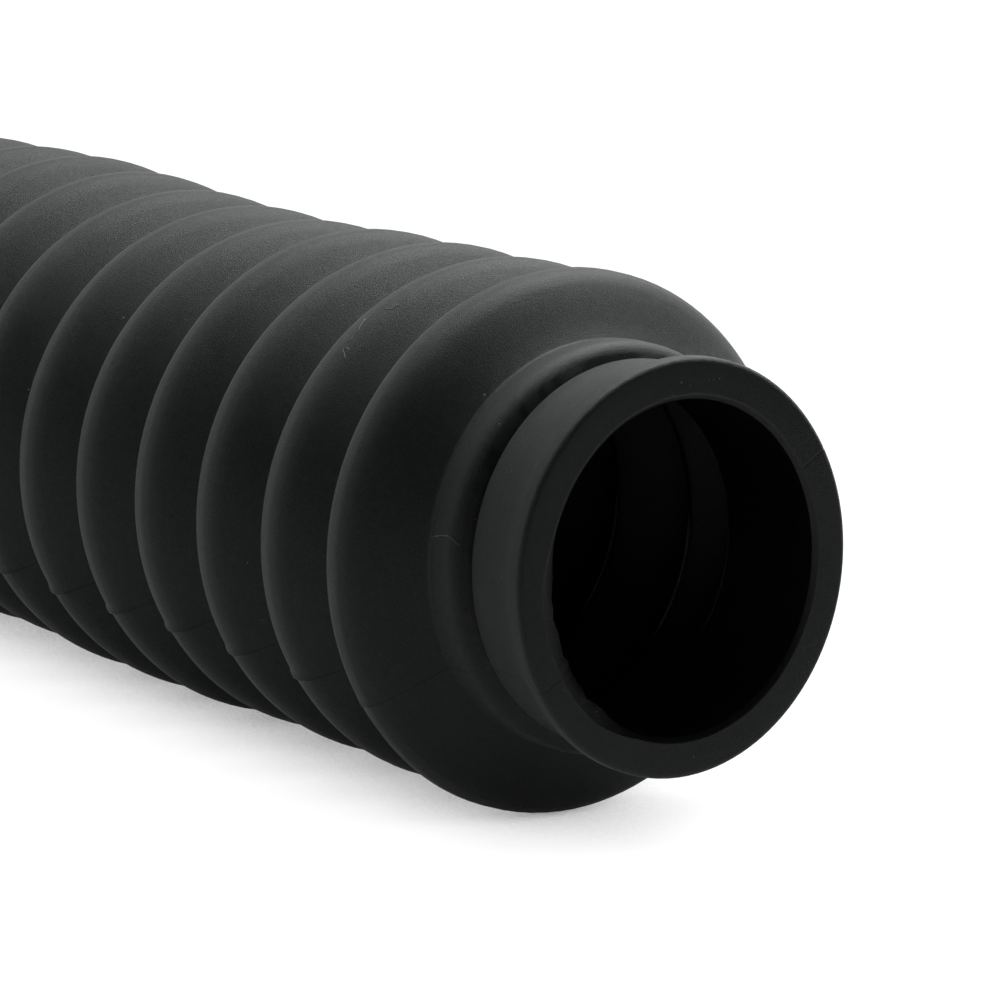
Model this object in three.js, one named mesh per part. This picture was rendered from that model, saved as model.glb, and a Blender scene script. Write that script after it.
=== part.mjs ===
// Fork gaiter: one moulded rubber bellows that covers a fork tube.
// It stands on its wider lower cuff, with its axis on +Z and the origin at the centre of its base.
// All sizes are in millimetres.

import * as THREE from 'three';

// Clamping cuffs at both ends
const upperBore = 42;
const lowerBore = 54;
const cuffWall = 3.5;
const boreChamfer = 0.8;
const lipWidth = 2.6;
const lipHeight = 1.7;
const lipSlope = 3.4;
const landWidth = 6.8;
const grooveWidth = 1.4;
const grooveDepth = 0.6;
const beadRise = 2.7;
const beadWidth = 2.4;
const beadFall = 0.9;
const beadHeight = 1.8;
const neckHeight = 1.1;

// Bellows between the cuffs
const crestDiameter = 70;
const foldDepth = 8;
const pitch = 16.8;
const foldCount = 16;
const endConeLength = 7.6;
const wall = 2;

// Corner radii
const lipRadius = 1.5;
const landRadius = 4;
const grooveRadius = 0.6;
const beadRadius = 2.6;
const crestRadius = 1;
const rootRadius = 1;
const insideRadius = 1.2;

// Fineness of the mesh
const turnSteps = 32;

// Distances from an end face to the steps of its cuff
const grooveStart = lipWidth + lipSlope + landWidth;
const beadStart = grooveStart + grooveWidth;
const beadTop = beadStart + beadRise;
const beadEnd = beadTop + beadWidth;
const cuffLength = beadEnd + beadFall;

const firstCrest = cuffLength + endConeLength;
const totalHeight = 2 * firstCrest + (foldCount - 1) * pitch;

// Crest and root corners before rounding. Rounding takes crestCut off a crest, so its corner
// stands that much outside the finished crest.
const flankLength = Math.hypot(pitch / 2, foldDepth);
const crestCut = crestRadius * foldDepth ** 2 / (flankLength * pitch);
const crestOutside = crestDiameter / 2 + crestCut;
const rootOutside = crestOutside - foldDepth;

// The wall is the same thickness square to a flank, so across the axis it measures more.
const wallAcross = wall * flankLength / (pitch / 2);
const crestInside = crestOutside - wallAcross;
const rootInside = rootOutside - wallAcross;

// A profile corner: radius from the axis, height, rounding, and the steps of that rounding.
function corner(radius, height, rounding = 0, steps = 2) {
  return { point: new THREE.Vector2(radius, height), rounding, steps };
}

// Replaces each corner of an open profile by a curve between its two tangent points.
function roundCorners(corners) {
  const points = [corners[0].point];
  for (let i = 1; i < corners.length - 1; i += 1) {
    const { point, rounding, steps } = corners[i];
    const before = corners[i - 1].point.clone().sub(point);
    const after = corners[i + 1].point.clone().sub(point);
    const angleBetween = Math.abs(before.angleTo(after));
    const tangent = rounding / Math.tan(angleBetween / 2);
    const reach = Math.min(tangent, before.length() * 0.45, after.length() * 0.45);
    if (reach < 0.01) {
      points.push(point);
      continue;
    }
    const start = point.clone().add(before.setLength(reach));
    const end = point.clone().add(after.setLength(reach));
    points.push(...new THREE.QuadraticBezierCurve(start, point, end).getPoints(steps));
  }
  points.push(corners[corners.length - 1].point);
  return points;
}

// Outside of a cuff, from its end face inwards: lip, clamp land, groove and bead.
// heightAt gives the height at a distance from the end face.
function cuffOutside(bore, heightAt) {
  const land = bore / 2 + cuffWall;
  const lip = land + lipHeight;
  const groove = land - grooveDepth;
  const bead = land + beadHeight;
  return [
    corner(bore / 2 + boreChamfer, heightAt(0)),
    corner(lip, heightAt(0), lipRadius, 3),
    corner(lip, heightAt(lipWidth), lipRadius, 2),
    corner(land, heightAt(lipWidth + lipSlope), landRadius, 3),
    corner(land, heightAt(grooveStart), grooveRadius, 1),
    corner(groove, heightAt(grooveStart + grooveDepth), grooveRadius, 1),
    corner(groove, heightAt(beadStart), grooveRadius, 2),
    corner(bead, heightAt(beadTop), beadRadius, 3),
    corner(bead, heightAt(beadEnd), beadRadius, 2),
    corner(land + neckHeight, heightAt(cuffLength), rootRadius, 2),
  ];
}

// Inside of a cuff, from its end face inwards.
function cuffInside(bore, heightAt) {
  return [
    corner(bore / 2 + boreChamfer, heightAt(0)),
    corner(bore / 2, heightAt(boreChamfer)),
    corner(bore / 2, heightAt(cuffLength - wall / 2), insideRadius, 2),
  ];
}

// Crests and roots of the folds, from the lowest crest to the highest.
function folds(crest, root, crestRounding = 0, rootRounding = 0) {
  const corners = [];
  for (let i = 0; i < foldCount; i += 1) {
    const crestHeight = firstCrest + i * pitch;
    corners.push(corner(crest, crestHeight, crestRounding, 2));
    if (i < foldCount - 1) {
      corners.push(corner(root, crestHeight + pitch / 2, rootRounding, 1));
    }
  }
  return corners;
}

const fromBase = (distance) => distance;
const fromTop = (distance) => totalHeight - distance;

const outside = roundCorners([
  ...cuffOutside(lowerBore, fromBase),
  ...folds(crestOutside, rootOutside, crestRadius, rootRadius),
  ...cuffOutside(upperBore, fromTop).reverse(),
]);
const inside = roundCorners([
  ...cuffInside(lowerBore, fromBase),
  ...folds(crestInside, rootInside),
  ...cuffInside(upperBore, fromTop).reverse(),
]);

// The closed profile runs up the outside and back down the inside to where it began.
const profile = [...outside, ...inside.reverse().slice(1)];
const geometry = new THREE.LatheGeometry(profile, turnSteps);
geometry.rotateX(Math.PI / 2);

const rubber = new THREE.MeshStandardMaterial({ color: 0x1d201f, roughness: 0.75, metalness: 0 });
const gaiter = new THREE.Mesh(geometry, rubber);
gaiter.name = 'gaiter';

const part = new THREE.Group();
part.add(gaiter);

export default part;
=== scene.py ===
# A rubber fork gaiter, standing on its lower cuff and seen from above its upper cuff.
import bmesh
import bpy
import math
import numpy as np
from mathutils import Matrix, Vector
from mathutils.bvhtree import BVHTree


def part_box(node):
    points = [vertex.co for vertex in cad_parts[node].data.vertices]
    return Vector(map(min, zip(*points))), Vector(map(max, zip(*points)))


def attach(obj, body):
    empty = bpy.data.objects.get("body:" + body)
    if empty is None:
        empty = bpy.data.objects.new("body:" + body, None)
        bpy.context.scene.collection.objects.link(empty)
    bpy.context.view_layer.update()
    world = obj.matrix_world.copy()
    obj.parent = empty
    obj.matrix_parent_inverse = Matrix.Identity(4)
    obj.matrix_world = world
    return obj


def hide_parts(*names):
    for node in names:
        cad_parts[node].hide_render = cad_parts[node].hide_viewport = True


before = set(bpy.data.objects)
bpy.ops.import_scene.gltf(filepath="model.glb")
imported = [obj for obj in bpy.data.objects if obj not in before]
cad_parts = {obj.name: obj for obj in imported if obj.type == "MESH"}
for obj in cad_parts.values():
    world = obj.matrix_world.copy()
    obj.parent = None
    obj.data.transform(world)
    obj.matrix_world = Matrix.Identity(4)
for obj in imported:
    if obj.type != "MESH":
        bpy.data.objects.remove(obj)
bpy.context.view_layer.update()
boxLow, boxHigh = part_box("gaiter")
mm = 0.001

# The gaiter's top end comes towards the camera, and the camera is rolled so that azimuth 45
# is up in the picture.
upAcross = Vector((math.sqrt(0.5), -math.sqrt(0.5), 0.0))
sideAcross = Vector((math.sqrt(0.5), math.sqrt(0.5), 0.0))
alongAxis = Vector((0.0, 0.0, 1.0))


def direction(up, side, along):
    return up * upAcross + side * sideAcross + along * alongAxis


viewSpec = {
    "lens": 166.6,                                  # mm, on a sensor 36 mm wide
    "right": direction(0.0, -0.8366, 0.5478),
    "down": direction(-0.9828, 0.1012, 0.1546),
    "forward": direction(-0.1848, -0.5384, -0.8222),
    "upperFace": (23.59, 8.855, 576.73),            # mm right, down and forward of the camera
}


def makeCamera(spec):
    data = bpy.data.cameras.new("camera")
    data.lens = spec["lens"]
    data.sensor_width = 36
    data.clip_start = 0.01
    data.clip_end = 20
    right, down, forward = (number * mm for number in spec["upperFace"])
    upperFace = Vector((0, 0, boxHigh[2]))
    place = upperFace - right * spec["right"] - down * spec["down"] - forward * spec["forward"]
    axes = (spec["right"].normalized(), -spec["down"].normalized(), -spec["forward"].normalized())
    camera = bpy.data.objects.new("camera", data)
    bpy.context.collection.objects.link(camera)
    camera.matrix_world = Matrix.Translation(place) @ Matrix(axes).transposed().to_4x4()
    bpy.context.scene.camera = camera


makeCamera(viewSpec)
print("camera made")


# Adds a node. Inputs are given by name or number, each as a value or as another node's output.
def addNode(tree, kind, inputs=None, **settings):
    node = tree.nodes.new(kind)
    for name, value in settings.items():
        setattr(node, name, value)
    for key, value in (inputs or {}).items():
        socket = node.inputs[key]
        if isinstance(value, bpy.types.NodeSocket):
            tree.links.new(value, socket)
        else:
            socket.default_value = value
    return node


def addMath(tree, operation, *numbers, clamp=False):
    inputs = dict(enumerate(numbers))
    return addNode(tree, "ShaderNodeMath", inputs, operation=operation, use_clamp=clamp).outputs[0]


gaiterSpec = {
    # clamping cuffs, mm
    "upperBore": 42, "lowerBore": 54, "cuffWall": 3.5, "boreChamfer": 0.65,
    "lipWidth": 2.2, "lipHeight": 1.7, "lipSlope": 3.8, "landWidth": 7.4,
    "grooveWidth": 0.6, "grooveDepth": 1.7, "grooveWall": 0.3, "creaseTop": 0.3,
    "beadRise": 1.3, "beadWidth": 4.0, "beadFall": 0.9, "beadHeight": 1.8, "neckHeight": 1.1,
    "edgeRounding": 0.35, "lipRounding": 0.8, "landRounding": 14.0, "shoulderRounding": 1.0,
    "grooveRounding": 0.4, "beadRounding": 2.6, "neckRounding": 1.6,
    # folds, mm
    "crestRadius": 35.0, "foldDepth": 9.0, "folds": 16, "endCone": 7.6, "wall": 2.0,
    "crestRounding": 4.4, "rootRounding": 1.0, "insideRounding": 0.9,
    # fineness of the mesh
    "turnSteps": 140, "longestStep": 3.2, "arcSteps": 5, "crowding": 0.9,
    "terminatorOffset": 0.3,                        # keeps grazing light from drawing single faces
    # mould parting plane, degrees from +X, and its raised line, mm
    "partingAngle": 75, "partingHeight": 0.04, "partingWidth": 0.16,
    # nicks in the crests there, and how far one half stands proud of the other, mm
    "nickDepth": 0.35, "nickWidth": 0.45, "nickReach": 1.2, "nickFade": 0.9,
    "mismatch": 0.06, "mismatchFade": 0.3,
}


# The sizes that follow from the others, in mm: where a cuff ends, where the first crest is, how far
# apart the crests are, the crests' corners before rounding, and the inner roots after it.
def foldSizes(spec):
    lengths = ("lipWidth", "lipSlope", "landWidth", "grooveWidth", "beadRise", "beadWidth", "beadFall")
    cuffLength = sum(spec[name] for name in lengths)
    firstCrest = cuffLength + spec["endCone"]
    pitch = ((boxHigh[2] - boxLow[2]) / mm - 2 * firstCrest) / (spec["folds"] - 1)
    flank = math.hypot(pitch / 2, spec["foldDepth"])
    outerCrest = spec["crestRadius"] + spec["crestRounding"] * (flank / (pitch / 2) - 1)
    innerCrest = outerCrest - spec["wall"] * flank / (pitch / 2)
    innerRoot = innerCrest - spec["foldDepth"] + spec["insideRounding"] * (flank / (pitch / 2) - 1)
    return {"cuffLength": cuffLength, "firstCrest": firstCrest, "pitch": pitch,
            "outerCrest": outerCrest, "innerCrest": innerCrest, "innerRoot": innerRoot}


# One cuff's outline, from the first crest inside round the end face to the first crest outside.
# Each corner is radius, distance from the end face, rounding, and skin value: 1 outside and 0 inside.
# The lower values at the shoulder, in the groove, on the bead's rise and at the bore's chamfer are painted
# shade.
def cuffOutline(spec, bore):
    sizes = foldSizes(spec)
    cuffLength = sizes["cuffLength"]
    hole = bore / 2
    land = hole + spec["cuffWall"]
    lip = land + spec["lipHeight"]
    groove = land - spec["grooveDepth"]
    bead = land + spec["beadHeight"]
    landStart = spec["lipWidth"] + spec["lipSlope"]
    grooveStart = landStart + spec["landWidth"]
    beadStart = grooveStart + spec["grooveWidth"]
    beadTop = beadStart + spec["beadRise"]
    beadEnd = beadTop + spec["beadWidth"]
    # how far up the bead's rise the painted shade of the crease reaches
    creased = (spec["grooveDepth"] + spec["creaseTop"]) / (spec["grooveDepth"] + spec["beadHeight"])
    return [
        (sizes["innerCrest"], sizes["firstCrest"], spec["insideRounding"], 0),
        (hole, cuffLength - spec["wall"] / 2, spec["insideRounding"], 0),
        (hole, spec["boreChamfer"], spec["edgeRounding"], 0),
        (hole + spec["boreChamfer"], 0, spec["edgeRounding"], 0.3),
        (hole + spec["boreChamfer"] + spec["edgeRounding"], 0, 0, 1),
        (lip, 0, spec["lipRounding"], 1),
        (lip, spec["lipWidth"], spec["lipRounding"], 1),
        (land, landStart, spec["landRounding"], 1),
        (land, grooveStart, spec["shoulderRounding"], 0.8),
        (groove, grooveStart + spec["grooveWall"], spec["grooveRounding"], 0),
        (groove, beadStart, spec["grooveRounding"], 0),
        (groove + creased * (bead - groove), beadStart + creased * spec["beadRise"], 0, 0.1),
        (bead, beadTop, spec["beadRounding"], 1),
        (bead, beadEnd, spec["beadRounding"], 1),
        (land + spec["neckHeight"], cuffLength, spec["neckRounding"], 1),
        (sizes["outerCrest"], sizes["firstCrest"], spec["crestRounding"], 1),
    ]


def storeValues(mesh, name, values):
    data = mesh.attributes.new(name, "FLOAT", "POINT").data
    data.foreach_set("value", np.asarray(values, np.float32))


# Both cuffs' outlines as two chains of edges: radius along X, height along Y.
def makeCuffOutlines(spec):
    height = (boxHigh[2] - boxLow[2]) / mm
    lower = cuffOutline(spec, spec["lowerBore"])
    upper = [(radius, height - away, rounding, skinUnshaded)
             for radius, away, rounding, skinUnshaded in cuffOutline(spec, spec["upperBore"])]
    corners = lower + upper
    edges = [(i, i + 1) for i in range(len(corners) - 1) if i != len(lower) - 1]
    mesh = bpy.data.meshes.new("cuffOutlines")
    mesh.from_pydata([(radius * mm, along * mm, 0) for radius, along, rounding, skinUnshaded in corners], edges, [])
    storeValues(mesh, "rounding", [rounding * mm for radius, along, rounding, skinUnshaded in corners])
    storeValues(mesh, "skinUnshaded", [skinUnshaded for radius, along, rounding, skinUnshaded in corners])
    piece = bpy.data.objects.new("rubberBellows", mesh)
    bpy.context.collection.objects.link(piece)
    return piece


# Crest and root corners of the folds as one chain of edges.
def addFoldLine(tree, sizes, crest, crestRounding, rootRounding, skinUnshaded):
    rows = addMath(tree, "MULTIPLY_ADD", sizes["Folds"], 2.0, -1.0)
    start = addNode(tree, "ShaderNodeCombineXYZ", {"X": crest, "Y": sizes["First Crest"]}).outputs[0]
    halfPitch = addMath(tree, "MULTIPLY", sizes["Pitch"], 0.5)
    step = addNode(tree, "ShaderNodeCombineXYZ", {"Y": halfPitch}).outputs[0]
    line = addNode(tree, "GeometryNodeMeshLine", {"Count": rows, "Start Location": start, "Offset": step},
                   mode="OFFSET").outputs[0]
    index = addNode(tree, "GeometryNodeInputIndex").outputs[0]
    isRoot = addMath(tree, "MODULO", index, 2.0)
    depth = addMath(tree, "MULTIPLY", sizes["Fold Depth"], -1.0)
    inwards = addNode(tree, "ShaderNodeCombineXYZ", {"X": depth}).outputs[0]
    zigzag = addNode(tree, "GeometryNodeSetPosition",
                     {"Geometry": line, "Selection": isRoot, "Offset": inwards}).outputs[0]
    rounding = addNode(tree, "ShaderNodeMapRange",
                       {"Value": isRoot, "To Min": crestRounding, "To Max": rootRounding}).outputs[0]
    rounded = addNode(tree, "GeometryNodeStoreNamedAttribute",
                      {"Geometry": zigzag, "Name": "rounding", "Value": rounding}).outputs[0]
    return addNode(tree, "GeometryNodeStoreNamedAttribute",
                   {"Geometry": rounded, "Name": "skinUnshaded", "Value": skinUnshaded}).outputs[0]


# Joins the cuffs' outlines to the folds, rounds every corner, cuts long stretches into shorter
# ones, and turns the closed outline round the axis. The columns crowd at the parting plane and are
# nearly even elsewhere.
def makeBellowsTree():
    tree = bpy.data.node_groups.new("bellows", "GeometryNodeTree")
    tree.interface.new_socket("Cuff Outlines", in_out="INPUT", socket_type="NodeSocketGeometry")
    for name in ("Outer Crest", "Inner Crest", "First Crest", "Pitch", "Fold Depth", "Crest Rounding",
                 "Root Rounding", "Inside Rounding", "Longest Step", "Crowding", "Parting Angle"):
        tree.interface.new_socket(name, in_out="INPUT", socket_type="NodeSocketFloat")
    for name in ("Folds", "Turn Steps", "Arc Steps"):
        tree.interface.new_socket(name, in_out="INPUT", socket_type="NodeSocketInt")
    tree.interface.new_socket("Rubber", in_out="INPUT", socket_type="NodeSocketMaterial")
    tree.interface.new_socket("Bellows", in_out="OUTPUT", socket_type="NodeSocketGeometry")
    sizes = addNode(tree, "NodeGroupInput").outputs

    outside = addFoldLine(tree, sizes, sizes["Outer Crest"], sizes["Crest Rounding"],
                          sizes["Root Rounding"], 1.0)
    # the inside folds take the darker inside colour, which is also painted shade in the bore
    inside = addFoldLine(tree, sizes, sizes["Inner Crest"], sizes["Inside Rounding"],
                         sizes["Inside Rounding"], 0.0)
    joined = addNode(tree, "GeometryNodeJoinGeometry")
    for line in (inside, outside, sizes["Cuff Outlines"]):
        tree.links.new(line, joined.inputs[0])
    closed = addNode(tree, "GeometryNodeMergeByDistance",
                     {"Geometry": joined.outputs[0], "Distance": 0.01 * mm})
    outline = addNode(tree, "GeometryNodeMeshToCurve", {"Mesh": closed.outputs[0]}).outputs[0]
    pivot = 1 * mm                                  # a swept outline's Y points down the axis
    shifted = addNode(tree, "GeometryNodeTransform",
                      {"Geometry": outline, "Translation": (-pivot, 0, 0), "Scale": (1, -1, 1)}).outputs[0]
    rounding = addNode(tree, "GeometryNodeInputNamedAttribute", {"Name": "rounding"},
                       data_type="FLOAT").outputs[0]
    rounded = addNode(tree, "GeometryNodeFilletCurve", {"Curve": shifted, "Count": sizes["Arc Steps"],
                                                        "Radius": rounding, "Limit Radius": True},
                      mode="POLY").outputs[0]

    index = addNode(tree, "GeometryNodeInputIndex").outputs[0]
    size = addNode(tree, "GeometryNodeAttributeDomainSize", {"Geometry": rounded}, component="CURVE")
    following = addMath(tree, "MODULO", addMath(tree, "ADD", index, 1.0), size.outputs["Point Count"])
    place = addNode(tree, "GeometryNodeInputPosition").outputs[0]
    nextPlace = addNode(tree, "GeometryNodeFieldAtIndex", data_type="FLOAT_VECTOR", domain="POINT")
    tree.links.new(place, nextPlace.inputs["Value"])
    tree.links.new(following, nextPlace.inputs["Index"])
    gap = addNode(tree, "ShaderNodeVectorMath", {0: place, 1: nextPlace.outputs[0]}, operation="DISTANCE")
    cuts = addMath(tree, "FLOOR", addMath(tree, "DIVIDE", gap.outputs["Value"], sizes["Longest Step"]))
    fine = addNode(tree, "GeometryNodeSubdivideCurve", {"Curve": rounded, "Cuts": cuts}).outputs[0]

    circle = addNode(tree, "GeometryNodeCurvePrimitiveCircle",
                     {"Resolution": sizes["Turn Steps"], "Radius": pivot})
    even = addMath(tree, "MULTIPLY", addMath(tree, "DIVIDE", index, sizes["Turn Steps"]), math.tau)
    twice = addMath(tree, "SINE", addMath(tree, "MULTIPLY", even, 2.0))
    fourTimes = addMath(tree, "SINE", addMath(tree, "MULTIPLY", even, 4.0))
    pull = addMath(tree, "MULTIPLY_ADD", twice, 2.5, fourTimes)
    share = addMath(tree, "DIVIDE", sizes["Crowding"], 9.0)       # at a crowding of 1 columns would meet
    crowded = addMath(tree, "SUBTRACT", even, addMath(tree, "MULTIPLY", pull, share))
    angle = addMath(tree, "ADD", crowded, sizes["Parting Angle"])
    onCircle = addNode(tree, "ShaderNodeCombineXYZ", {
        "X": addMath(tree, "MULTIPLY", addMath(tree, "COSINE", angle), pivot),
        "Y": addMath(tree, "MULTIPLY", addMath(tree, "SINE", angle), pivot)})
    path = addNode(tree, "GeometryNodeSetPosition",
                   {"Geometry": circle.outputs[0], "Position": onCircle.outputs[0]}).outputs[0]
    turned = addNode(tree, "GeometryNodeCurveToMesh", {"Curve": path, "Profile Curve": fine}).outputs[0]
    smooth = addNode(tree, "GeometryNodeSetShadeSmooth", {"Geometry": turned}).outputs[0]
    real = addNode(tree, "GeometryNodeRealizeInstances", {"Geometry": smooth}).outputs[0]
    finished = addNode(tree, "GeometryNodeSetMaterial",
                       {"Geometry": real, "Material": sizes["Rubber"]}).outputs[0]
    tree.links.new(finished, addNode(tree, "NodeGroupOutput").inputs[0])
    return tree


def setInputs(modifier, values):
    sockets = {item.name: item.identifier for item in modifier.node_group.interface.items_tree
               if item.in_out == "INPUT"}
    for name, value in values.items():
        modifier[sockets[name]] = value


# Evaluates a piece's modifiers into a plain mesh and removes them.
def applyModifiers(piece):
    depsgraph = bpy.context.evaluated_depsgraph_get()
    mesh = bpy.data.meshes.new_from_object(piece.evaluated_get(depsgraph))
    piece.modifiers.clear()
    piece.data = mesh


def makeBellows(spec, rubber):
    sizes = foldSizes(spec)
    piece = makeCuffOutlines(spec)
    modifier = piece.modifiers.new("bellows", "NODES")
    modifier.node_group = makeBellowsTree()
    setInputs(modifier, {
        "Outer Crest": sizes["outerCrest"] * mm, "Inner Crest": sizes["innerCrest"] * mm,
        "First Crest": sizes["firstCrest"] * mm, "Pitch": sizes["pitch"] * mm,
        "Fold Depth": spec["foldDepth"] * mm, "Crest Rounding": spec["crestRounding"] * mm,
        "Root Rounding": spec["rootRounding"] * mm, "Inside Rounding": spec["insideRounding"] * mm,
        "Longest Step": spec["longestStep"] * mm, "Crowding": spec["crowding"],
        "Parting Angle": math.radians(spec["partingAngle"]),
        "Folds": spec["folds"], "Turn Steps": spec["turnSteps"], "Arc Steps": spec["arcSteps"],
        "Rubber": rubber,
    })
    applyModifiers(piece)
    return piece


bendSpec = {
    # how far the soft gaiter gives, as mm from its top end and mm at that place: up is the shift
    # towards the picture's up, tall the growth of the radius that way
    "up": ((0, 0.3), (19, 0.2), (27.8, -0.9), (44.6, -0.7), (78.2, -0.5), (95, -1.1),
           (111.8, -1.05), (128.6, -0.8), (145.4, 0.3), (162.2, 0.55), (195, 0.6), (250, 0)),
    "tall": ((0, 0.4), (19, 0.4), (27.8, 1.6), (44.6, 0), (95, 0), (111.8, 0.2), (128.6, 0.5), (145.4, 0.6),
             (162.2, 1.0), (195, 1.0), (250, 0)),
    # and the same sideways, towards the picture's left
    "side": ((0, 0.6), (19, 0.5), (27.8, 0.1), (44.6, 0)),
    "wide": ((0, -1.0), (19, -0.8), (27.8, 0.6), (44.6, 0)),
    "radii": ((19, 21), (27.8, 35)),                # the radii that grow: mm from the top end, mm
    # unevenness of the crests: mm, waves per turn, radians of drift per m, mm of radius left still
    "waviness": 0.14, "waves": (2, 3, 5), "drift": 55, "still": 27.5, "stillFade": 5,
}
flashSpec = {
    # torn edge of the upper bore: degrees from the picture's up towards its left
    "from": 74, "to": 160, "fade": 18,
    # how far it stands into the bore, how ragged, and how far down it reaches, mm
    "depth": 0.45, "raggedness": 0.2, "height": 1.3, "waves": (11, 19, 34, 57, 98),
    # and how far the chamfer widens behind it, mm
    "rim": 0.8, "rimWidth": 1.2, "rimHeight": 0.4, "edgeWidth": 0.3, "edgeFade": 0.2,
}
glintSpec = {
    # painted glints on the inner edges: degrees as above, mm from the top end, and mm of radius
    "from": -138, "to": -82, "fade": 16, "start": 18.4, "end": 60, "rootWidth": 0.06, "cuffEdge": (0.01, 0.1),
}


def readVectors(vectors, name):
    values = np.empty(len(vectors) * 3, np.float32)
    vectors.foreach_get(name, values)
    return values.reshape(-1, 3).astype(float)


def readValues(mesh, name):
    values = np.empty(len(mesh.vertices), np.float32)
    mesh.attributes[name].data.foreach_get("value", values)
    return values.astype(float)


# 1 between two turns, fading out at both ends.
def betweenTurns(turn, spec):
    after = np.clip((turn - spec["from"]) / spec["fade"], 0, 1)
    before = np.clip((spec["to"] - turn) / spec["fade"], 0, 1)
    return after * before


# The small things that a turned outline lacks: the raised line where the mould parts, a nick in
# each crest there, one half standing a little proud of the other, and a torn edge in the bore.
# The material reads the distance from the parting plane, and where glints are painted on the inner edges.
def addMouldMarks(piece, spec, flash, paintedGlint):
    mesh = piece.data
    points = readVectors(mesh.vertices, "co")
    normals = readVectors(mesh.vertex_normals, "vector")
    skinUnshaded = readValues(mesh, "skinUnshaded")
    radius = np.hypot(points[:, 0], points[:, 1]) / mm
    fromTop = boxHigh[2] / mm - points[:, 2] / mm
    angle = math.radians(spec["partingAngle"])
    fromPlane = (points[:, 1] * math.cos(angle) - points[:, 0] * math.sin(angle)) / mm
    storeValues(mesh, "fromParting", fromPlane)
    ridge = spec["partingHeight"] * np.exp(-(fromPlane / spec["partingWidth"]) ** 2)
    onCrest = np.clip((radius - spec["crestRadius"] + spec["nickReach"]) / spec["nickFade"], 0, 1)
    nick = spec["nickDepth"] * np.exp(-(fromPlane / spec["nickWidth"]) ** 2) * onCrest
    proud = spec["mismatch"] * np.clip(fromPlane / spec["mismatchFade"], -1, 1) * onCrest
    points += normals * ((ridge - nick + proud) * skinUnshaded * mm)[:, None]

    turn = np.degrees(np.arctan2(points @ np.array(sideAcross), points @ np.array(upAcross)))
    fromHole = radius - spec["upperBore"] / 2
    random = np.random.default_rng(8)
    torn = np.zeros(len(points))
    for waves in flash["waves"]:
        start = random.uniform(0, math.tau)
        slant = random.uniform(1, 5)
        torn += np.sin(np.radians(turn) * waves + start + fromTop * slant)
    ragged = flash["depth"] + flash["raggedness"] * torn / 2.2
    atEdge = (np.clip((flash["edgeWidth"] - fromHole) / flash["edgeFade"], 0, 1)
              * np.clip(1.6 - 1.6 * fromTop / flash["height"], 0, 1))
    atRim = (np.clip((fromHole - flash["edgeWidth"]) / flash["edgeFade"], 0, 1)
             * (fromHole < flash["rimWidth"]) * (fromTop < flash["rimHeight"]))
    inwards = betweenTurns(turn, flash) * (atEdge * ragged - atRim * flash["rim"])

    # painted glints: pale inner roots and inner cuff edges, only in the turns where they catch the light
    sizes = foldSizes(spec)
    onRoot = np.abs(radius - sizes["innerRoot"]) < paintedGlint["rootWidth"]
    edgeStart, edgeEnd = paintedGlint["cuffEdge"]
    onCuffEdge = (fromHole > edgeStart) & (fromHole < edgeEnd) & (fromTop < sizes["cuffLength"])
    shown = (skinUnshaded < 0.05) & (fromTop > paintedGlint["start"]) & (fromTop < paintedGlint["end"])
    storeValues(mesh, "paintedGlint", ((onRoot | onCuffEdge) & shown) * betweenTurns(turn, paintedGlint))

    away = points.copy()
    away[:, 2] = 0
    points -= away / np.hypot(away[:, 0], away[:, 1])[:, None] * (inwards * mm)[:, None]
    mesh.vertices.foreach_set("co", points.astype(np.float32).ravel())
    mesh.update()


# Lets the folds give a little under their own weight, and the cuff go slightly oval.
def bendBellows(piece, spec):
    mesh = piece.data
    points = readVectors(mesh.vertices, "co")
    up = points @ np.array(upAcross)
    side = points @ np.array(sideAcross)
    radius = np.hypot(up, side)
    turn = np.arctan2(side, up)
    height = points[:, 2]
    fromTop = boxHigh[2] / mm - height / mm
    give = {name: np.interp(fromTop, *zip(*spec[name])) * mm for name in ("up", "tall", "side", "wide")}
    size = np.interp(fromTop, *zip(*spec["radii"])) * mm
    random = np.random.default_rng(4)
    wave = np.zeros(len(points))
    for turns in spec["waves"]:
        start, slow = random.uniform(0, math.tau, 2)
        wave += np.sin(turns * turn + start + 3 * np.sin(height * spec["drift"] + slow)) / turns
    wave *= np.clip((radius / mm - spec["still"]) / spec["stillFade"], 0, 1) * spec["waviness"] * mm / radius
    newUp = up * (1 + give["tall"] / size + wave) + give["up"]
    newSide = side * (1 + give["wide"] / size + wave) + give["side"]
    points = newUp[:, None] * np.array(upAcross) + newSide[:, None] * np.array(sideAcross)
    points[:, 2] = height
    mesh.vertices.foreach_set("co", points.astype(np.float32).ravel())
    mesh.update()


# Merges doubles and turns every face outwards.
def closeShell(piece):
    shell = bmesh.new()
    shell.from_mesh(piece.data)
    bmesh.ops.remove_doubles(shell, verts=shell.verts, dist=0.001 * mm)
    bmesh.ops.recalc_face_normals(shell, faces=shell.faces)
    openEdges = sum(1 for edge in shell.edges if len(edge.link_faces) != 2)
    shell.to_mesh(piece.data)
    triangles = sum(len(face.verts) - 2 for face in shell.faces)
    volume = shell.calc_volume(signed=True) * 1e6
    print(piece.name, "triangles", triangles, "open edges", openEdges, "volume", round(volume, 3), "ml")
    shell.free()


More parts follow.
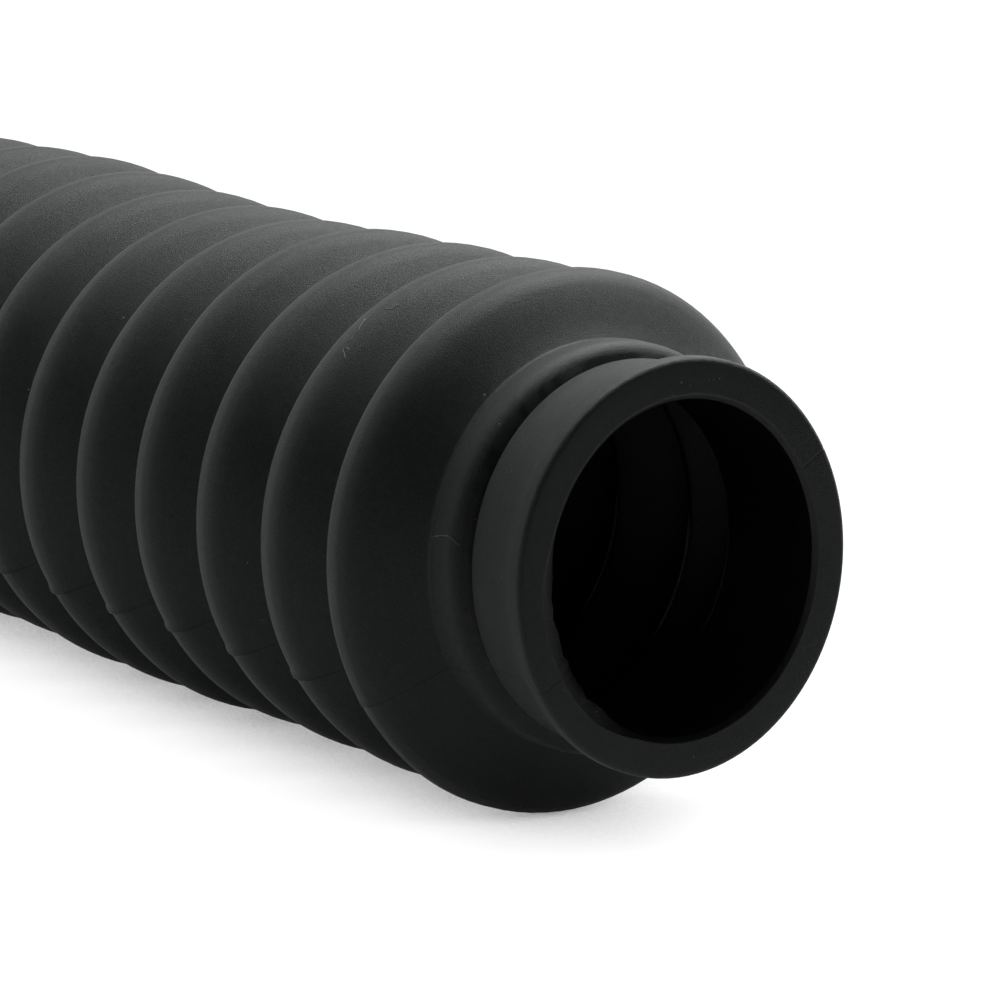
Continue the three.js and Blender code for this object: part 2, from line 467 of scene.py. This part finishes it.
rubberSpec = {
    "outside": ((0.0265, 0.0318, 0.0283), (0.0385, 0.0438, 0.0412)),   # colours, dark to pale
    # the inside colour, also used as painted shade in the groove, the crease and the bore's chamfer
    "inside": (0.013, 0.017, 0.0135),
    "grainScale": 6200, "cloudScale": 48, "streakScale": 900, "cloudRange": (0.34, 0.68),
    "fleck": 2.16, "streakShare": 0.25,             # how much the fine grain lightens and darkens
    "roughness": (0.46, 0.57), "insideRoughness": 0.28,
    "bumpHeight": 0.15, "lineWidth": 0.11, "lineRaggedness": 0.16,   # mm
    # the last colour paints the glints on the inner edges
    "line": (0.010, 0.012, 0.011), "glintColour": (0.6, 0.62, 0.6),
}
dustSpec = {
    "colour": (0.27, 0.28, 0.27), "radius": 0.11, "raggedness": 0.22, "wobbleScale": 9000,   # mm, mm, per m
    # specks, by pixel of the photograph, with a share of the radius
    "specks": ((123, 317, 1.0), (28, 389, 1.0), (484, 394, 1.0), (681, 382, 1.2), (709, 380, 0.8),
               (713, 379, 0.7), (719, 378, 0.9), (673, 395, 0.8), (690, 385, 0.6), (247, 562, 0.9),
               (262, 620, 0.8), (693, 756, 0.9), (596, 711, 1.1), (499, 423, 0.8), (535, 465, 0.8),
               (538, 709, 1.0), (564, 690, 1.0), (526, 681, 0.9), (587, 699, 0.8), (523, 495, 0.7),
               (475, 519, 0.7), (511, 470, 0.7), (501, 577, 0.8)),
}


def addNoise(tree, place, scale, detail, roughness=0.5):
    values = {"Vector": place, "Scale": scale, "Detail": detail, "Roughness": roughness}
    return addNode(tree, "ShaderNodeTexNoise", values).outputs["Fac"]


# Black moulded rubber: matt and finely grained, cloudy outside, cleaner inside and darker there as painted
# shade, with a dark line along the mould parting. The dark inside colour also paints the shade where the
# skin value is low outside, and the pale inner edges are painted glints.
def makeRubber(spec):
    material = bpy.data.materials.new("blackRubber")
    material.use_nodes = True
    tree = material.node_tree
    tree.nodes.clear()
    place = addNode(tree, "ShaderNodeTexCoord").outputs["Object"]
    grain = addNoise(tree, place, spec["grainScale"], 2.0, 0.65)
    cloud = addNoise(tree, place, spec["cloudScale"], 3.0, 0.62)
    streak = addNoise(tree, place, spec["streakScale"], 2.0, 0.5)
    dark, pale = spec["outside"]
    outside = addNode(tree, "ShaderNodeValToRGB", {"Fac": cloud})
    for element, position, colour in zip(outside.color_ramp.elements, spec["cloudRange"], (dark, pale)):
        element.position = position
        element.color = (*colour, 1)
    # skin value: the dark inside colour where it is low, painted shade in the bore, the groove and the crease
    skinUnshaded = addNode(tree, "ShaderNodeAttribute", attribute_name="skinUnshaded").outputs["Fac"]
    base = addNode(tree, "ShaderNodeMix", {"Factor": skinUnshaded, 6: (*spec["inside"], 1), 7: outside.outputs[0]},
                   data_type="RGBA").outputs[2]
    both = addMath(tree, "MULTIPLY_ADD", streak, spec["streakShare"], grain)
    middle = 0.5 + 0.5 * spec["streakShare"]
    fleck = addMath(tree, "MULTIPLY_ADD", addMath(tree, "SUBTRACT", both, middle), spec["fleck"], 1.0)
    flecked = addNode(tree, "ShaderNodeVectorMath", {0: base}, operation="SCALE")
    tree.links.new(fleck, flecked.inputs["Scale"])

    fromParting = addNode(tree, "ShaderNodeAttribute", attribute_name="fromParting").outputs["Fac"]
    raggedness = spec["lineRaggedness"]
    shifted = addMath(tree, "ADD", fromParting, -raggedness / 2)
    ragged = addMath(tree, "MULTIPLY_ADD", streak, raggedness, shifted)
    away = addMath(tree, "ABSOLUTE", ragged)
    width = spec["lineWidth"]
    nearLine = addNode(tree, "ShaderNodeMapRange", {
        "Value": away, "From Min": width * 0.5, "From Max": width * 1.6,
        "To Min": 0.8, "To Max": 0.0}).outputs[0]
    lined = addNode(tree, "ShaderNodeMix", {"Factor": nearLine, 6: flecked.outputs[0], 7: (*spec["line"], 1)},
                    data_type="RGBA").outputs[2]
    # pale painted glints on the inner edges
    paintedGlint = addNode(tree, "ShaderNodeAttribute", attribute_name="paintedGlint").outputs["Fac"]
    onEdge = addNode(tree, "ShaderNodeMapRange",
                     {"Value": paintedGlint, "From Min": 0.45, "From Max": 0.95}).outputs[0]
    coloured = addNode(tree, "ShaderNodeMix", {"Factor": onEdge, 6: lined, 7: (*spec["glintColour"], 1)},
                       data_type="RGBA").outputs[2]
    smooth, rough = spec["roughness"]
    roughness = addNode(tree, "ShaderNodeMapRange", {"Value": cloud, "From Min": 0.3, "From Max": 0.7,
                                                     "To Min": smooth, "To Max": rough}).outputs[0]
    worn = addNode(tree, "ShaderNodeMix",
                   {"Factor": skinUnshaded, 2: spec["insideRoughness"], 3: roughness}).outputs[0]
    bump = addNode(tree, "ShaderNodeBump",
                   {"Height": grain, "Distance": spec["bumpHeight"] * mm, "Strength": 0.6})
    addNode(tree, "ShaderNodeBsdfPrincipled", {
        "Base Color": coloured, "Roughness": worn, "Specular IOR Level": 0.18,
        "Normal": bump.outputs[0]}).name = "rubberSurface"
    addNode(tree, "ShaderNodeOutputMaterial", {"Surface": tree.nodes["rubberSurface"].outputs[0]})
    return material


# Looks through a pixel of the photograph and gives the place on a piece that it shows.
def makeFinder(piece, view):
    shell = BVHTree.FromPolygons([vertex.co for vertex in piece.data.vertices],
                                 [tuple(face.vertices) for face in piece.data.polygons])
    eye = bpy.context.scene.camera.matrix_world.translation
    imageSize = 1001
    sensor = 36 / view["lens"]

    def find(x, y):
        across = ((x + 0.5) / imageSize - 0.5) * sensor
        down = ((y + 0.5) / imageSize - 0.5) * sensor
        ray = view["right"] * across + view["down"] * down + view["forward"]
        place, normal, index, distance = shell.ray_cast(eye, ray.normalized())
        return place, normal

    return find


# Pale specks in the rubber's own material, each a small ball round the place where a speck lies.
def addDust(material, spec, find):
    tree = material.node_tree
    surface = tree.nodes["rubberSurface"]
    place = addNode(tree, "ShaderNodeTexCoord").outputs["Object"]
    shake = addNoise(tree, place, spec["wobbleScale"], 1.0)
    wobble = addMath(tree, "MULTIPLY", addMath(tree, "SUBTRACT", shake, 0.5), spec["raggedness"] * mm)
    nearest = None
    for x, y, share in spec["specks"]:
        centre = find(x, y)[0]
        if centre is None:
            continue
        away = addNode(tree, "ShaderNodeVectorMath", {0: place, 1: centre},
                       operation="DISTANCE").outputs["Value"]
        edge = addMath(tree, "SUBTRACT", away, spec["radius"] * share * mm)
        nearest = edge if nearest is None else addMath(tree, "MINIMUM", nearest, edge)
    onSpeck = addMath(tree, "LESS_THAN", addMath(tree, "ADD", nearest, wobble), 0.0)
    rubberColour = surface.inputs["Base Color"].links[0].from_socket
    dusted = addNode(tree, "ShaderNodeMix", {"Factor": onSpeck, 6: rubberColour, 7: (*spec["colour"], 1)},
                     data_type="RGBA").outputs[2]
    tree.links.new(dusted, surface.inputs["Base Color"])


rubber = makeRubber(rubberSpec)
bellows = makeBellows(gaiterSpec, rubber)
addMouldMarks(bellows, gaiterSpec, flashSpec, glintSpec)
bendBellows(bellows, bendSpec)
closeShell(bellows)
bellows.cycles.shadow_terminator_offset = gaiterSpec["terminatorOffset"]
bellows.cycles.shadow_terminator_geometry_offset = gaiterSpec["terminatorOffset"]
findPlace = makeFinder(bellows, viewSpec)
addDust(rubber, dustSpec, findPlace)
print("bellows made")

lintSpec = {
    "thickness": 0.08, "lift": 0.04,                # mm
    "dark": (0.10, 0.11, 0.10), "pale": (0.45, 0.46, 0.45), "fadeScale": 2500,   # colours, and per m
    # hairs that lie on the rubber, by pixels of the photograph
    "hairs": (((365.1, 319.3), (360.5, 325.7), (358, 330.8), (354.4, 334.4), (352.1, 337.4), (351.3, 339.7),
               (348.8, 340)),
              ((349.8, 350), (345.7, 347.9), (343.2, 349.3), (344.2, 353), (345.2, 358.5)),
              ((384.5, 308.9), (389.1, 309.1), (392.7, 308.4), (395.7, 306.3), (399.3, 304.3)),
              ((432, 537), (437, 536), (443, 535.5), (449, 536.5), (454, 540.5), (459, 545))),
}


# Hairs of lint laid along the places that their pixels show.
def makeLint(spec, find):
    curves = bpy.data.curves.new("lintHairs", "CURVE")
    curves.dimensions = "3D"
    curves.bevel_depth = spec["thickness"] / 2 * mm
    curves.bevel_resolution = 1
    curves.resolution_u = 4
    curves.use_fill_caps = True
    for hair in spec["hairs"]:
        found = [find(x - 0.5, y - 0.5) for x, y in hair]
        places = [place + normal * spec["lift"] * mm for place, normal in found if place is not None]
        spline = curves.splines.new("BEZIER")
        spline.bezier_points.add(len(places) - 1)
        for point, place in zip(spline.bezier_points, places):
            point.co = place
            point.handle_left_type = point.handle_right_type = "AUTO"
    drawn = bpy.data.objects.new("lintDrawn", curves)
    bpy.context.collection.objects.link(drawn)
    depsgraph = bpy.context.evaluated_depsgraph_get()
    mesh = bpy.data.meshes.new_from_object(drawn.evaluated_get(depsgraph))
    bpy.data.objects.remove(drawn)
    lint = bpy.data.objects.new("lintHairs", mesh)
    bpy.context.collection.objects.link(lint)
    material = bpy.data.materials.new("paleLint")
    material.use_nodes = True
    tree = material.node_tree
    tree.nodes.clear()
    place = addNode(tree, "ShaderNodeTexCoord").outputs["Object"]
    fade = addNoise(tree, place, spec["fadeScale"], 1.0)
    colour = addNode(tree, "ShaderNodeMix", {"Factor": fade, 6: (*spec["dark"], 1), 7: (*spec["pale"], 1)},
                     data_type="RGBA").outputs[2]
    surface = addNode(tree, "ShaderNodeBsdfPrincipled", {"Base Color": colour, "Roughness": 0.8})
    addNode(tree, "ShaderNodeOutputMaterial", {"Surface": surface.outputs[0]})
    mesh.materials.clear()
    mesh.materials.append(material)
    return lint


lint = makeLint(lintSpec, findPlace)
closeShell(lint)
print("lint laid")

stageSpec = {
    "floorSize": 6.0, "backdropSize": 1.6,          # m
    "floorDrop": 0.2, "backdropGap": 37.0,          # mm below the end face, mm from the axis
    "paleGrey": 0.09, "open": 1.04, "touching": 0.14, "whiteFrom": 0.4,
    "touchDistance": 0.03, "nearDistance": 0.12, "nearRadius": 0.1,    # m
    "ambient": 0.1,
    "cardDistance": 2.0, "cardGlow": 0.06,          # m
    # lamps: degrees from straight up in the picture, then rise, width, height and distance, m, and W
    "key": (-25, -0.024, 0.7, 0.22, 0.85, 13.8),
    "side": (97, -0.094, 0.3, 0.1, 0.5, 0.55),
    "farSide": (-92, 0.0, 0.3, 0.25, 0.6, 0.8),
}


# 1 for the rays that see the plain white round the object: camera, glossy and transmission rays.
def addSeenRays(tree, rays):
    return addMath(tree, "MAXIMUM", addMath(tree, "MAXIMUM", rays["Is Camera Ray"], rays["Is Glossy Ray"]),
                   rays["Is Transmission Ray"])


# White where it is open, darker where the object touches it or stands close. The camera sees the
# tight contact shadow, reflections see a wider one.
def makePale(name, spec, oneSided=False):
    material = bpy.data.materials.new(name)
    material.use_nodes = True
    tree = material.node_tree
    tree.nodes.clear()
    grey = spec["paleGrey"]
    rays = addNode(tree, "ShaderNodeLightPath").outputs
    seen = addSeenRays(tree, rays)
    tight = addNode(tree, "ShaderNodeAmbientOcclusion", {"Distance": spec["touchDistance"]},
                    samples=6).outputs["AO"]
    wide = addNode(tree, "ShaderNodeAmbientOcclusion", {"Distance": spec["nearDistance"]},
                   samples=1).outputs["AO"]
    eased = addMath(tree, "POWER", addMath(tree, "DIVIDE", tight, spec["whiteFrom"], clamp=True), 0.5)
    forCamera = addNode(tree, "ShaderNodeMapRange",
                        {"Value": eased, "To Min": spec["touching"], "To Max": spec["open"]}).outputs[0]
    forOthers = addMath(tree, "MULTIPLY", seen, addMath(tree, "MULTIPLY", wide, spec["open"]))
    cameraGlow = addNode(tree, "ShaderNodeEmission", {"Strength": forCamera})
    otherGlow = addNode(tree, "ShaderNodeEmission", {"Strength": forOthers})
    nearGlow = addNode(tree, "ShaderNodeMixShader",
                       {0: rays["Is Camera Ray"], 1: otherGlow.outputs[0], 2: cameraGlow.outputs[0]})
    farGlow = addNode(tree, "ShaderNodeEmission", {"Strength": addMath(tree, "MULTIPLY", seen, spec["open"])})
    place = addNode(tree, "ShaderNodeNewGeometry")
    flat = addNode(tree, "ShaderNodeVectorMath", {0: place.outputs["Position"], 1: (1, 1, 0)},
                   operation="MULTIPLY")
    fromAxis = addNode(tree, "ShaderNodeVectorMath", {0: flat.outputs[0]},
                       operation="LENGTH").outputs["Value"]
    near = addMath(tree, "LESS_THAN", fromAxis, spec["nearRadius"])
    glow = addNode(tree, "ShaderNodeMixShader", {0: near, 1: farGlow.outputs[0], 2: nearGlow.outputs[0]})
    plain = addNode(tree, "ShaderNodeBsdfDiffuse", {"Color": (grey, grey, grey, 1)})
    surface = addNode(tree, "ShaderNodeAddShader", {0: plain.outputs[0], 1: glow.outputs[0]}).outputs[0]
    if oneSided:
        clear = addNode(tree, "ShaderNodeBsdfTransparent")
        surface = addNode(tree, "ShaderNodeMixShader",
                          {0: place.outputs["Backfacing"], 1: surface, 2: clear.outputs[0]}).outputs[0]
    addNode(tree, "ShaderNodeOutputMaterial", {"Surface": surface})
    return material


def makeSheet(name, centre, across, up, size, material):
    mesh = bpy.data.meshes.new(name)
    corners = [centre + (x * across + y * up) * size / 2 for x, y in ((-1, -1), (1, -1), (1, 1), (-1, 1))]
    mesh.from_pydata(corners, [], [(0, 1, 2, 3)])
    mesh.materials.append(material)
    sheet = bpy.data.objects.new(name, mesh)
    bpy.context.collection.objects.link(sheet)
    return sheet


# The floor that the gaiter stands on, and an upright backdrop at its side, seen from one side only.
def makeStage(spec):
    below = Vector((0, 0, -spec["floorDrop"] * mm))
    makeSheet("floor", below, Vector((1, 0, 0)), Vector((0, 1, 0)), spec["floorSize"],
              makePale("paleFloor", spec))
    size = spec["backdropSize"]
    middle = -upAcross * spec["backdropGap"] * mm + alongAxis * size / 2
    makeSheet("backdrop", middle, sideAcross, alongAxis, size, makePale("paleBackdrop", spec, True))


# Dark cards round the set. The camera does not see them.
def makeCards(spec):
    material = bpy.data.materials.new("darkCard")
    material.use_nodes = True
    tree = material.node_tree
    tree.nodes.clear()
    glow = addNode(tree, "ShaderNodeEmission", {"Strength": spec["cardGlow"]})
    addNode(tree, "ShaderNodeOutputMaterial", {"Surface": glow.outputs[0]})
    away = spec["cardDistance"]
    middle = alongAxis * away
    for name, centre, across, up in (
            ("ceilingCard", alongAxis * away * 2, sideAcross, upAcross),
            ("leftCard", middle + sideAcross * away, upAcross, alongAxis),
            ("rightCard", middle - sideAcross * away, upAcross, alongAxis),
            ("highCard", middle + upAcross * away, sideAcross, alongAxis),
            ("lowCard", middle - upAcross * away, sideAcross, alongAxis)):
        card = makeSheet(name, centre, across, up, away * 2, material)
        card.visible_camera = False
        card.visible_transmission = False


# An upright soft lamp. Its turn goes from the picture's up towards the picture's left.
def makeLamp(name, turn, rise, width, height, distance, energy):
    data = bpy.data.lights.new(name, "AREA")
    data.shape = "RECTANGLE"
    data.size = width
    data.size_y = height
    data.energy = energy
    lamp = bpy.data.objects.new(name, data)
    bpy.context.collection.objects.link(lamp)
    turn = math.radians(turn)
    outwards = math.cos(turn) * upAcross + math.sin(turn) * sideAcross
    axes = (alongAxis.cross(outwards), alongAxis, outwards)
    middle = outwards * distance + alongAxis * (boxHigh[2] / 2 + rise)
    lamp.matrix_world = Matrix.Translation(middle) @ Matrix(axes).transposed().to_4x4()


def makeLights(spec):
    for name in ("key", "side", "farSide"):
        makeLamp(name, *spec[name])
    world = bpy.data.worlds.new("studio")
    bpy.context.scene.world = world
    world.use_nodes = True
    tree = world.node_tree
    tree.nodes.clear()
    seen = addSeenRays(tree, addNode(tree, "ShaderNodeLightPath").outputs)
    strength = addNode(tree, "ShaderNodeMapRange", {"Value": seen, "To Min": spec["ambient"], "To Max": 1.0})
    background = addNode(tree, "ShaderNodeBackground", {"Strength": strength.outputs[0]})
    addNode(tree, "ShaderNodeOutputWorld", {"Surface": background.outputs[0]})


makeStage(stageSpec)
makeCards(stageSpec)
makeLights(stageSpec)
bpy.context.scene.view_settings.view_transform = "Standard"
print("stage and lights made")

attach(bellows, "root")
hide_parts("gaiter")
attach(lint, "root")
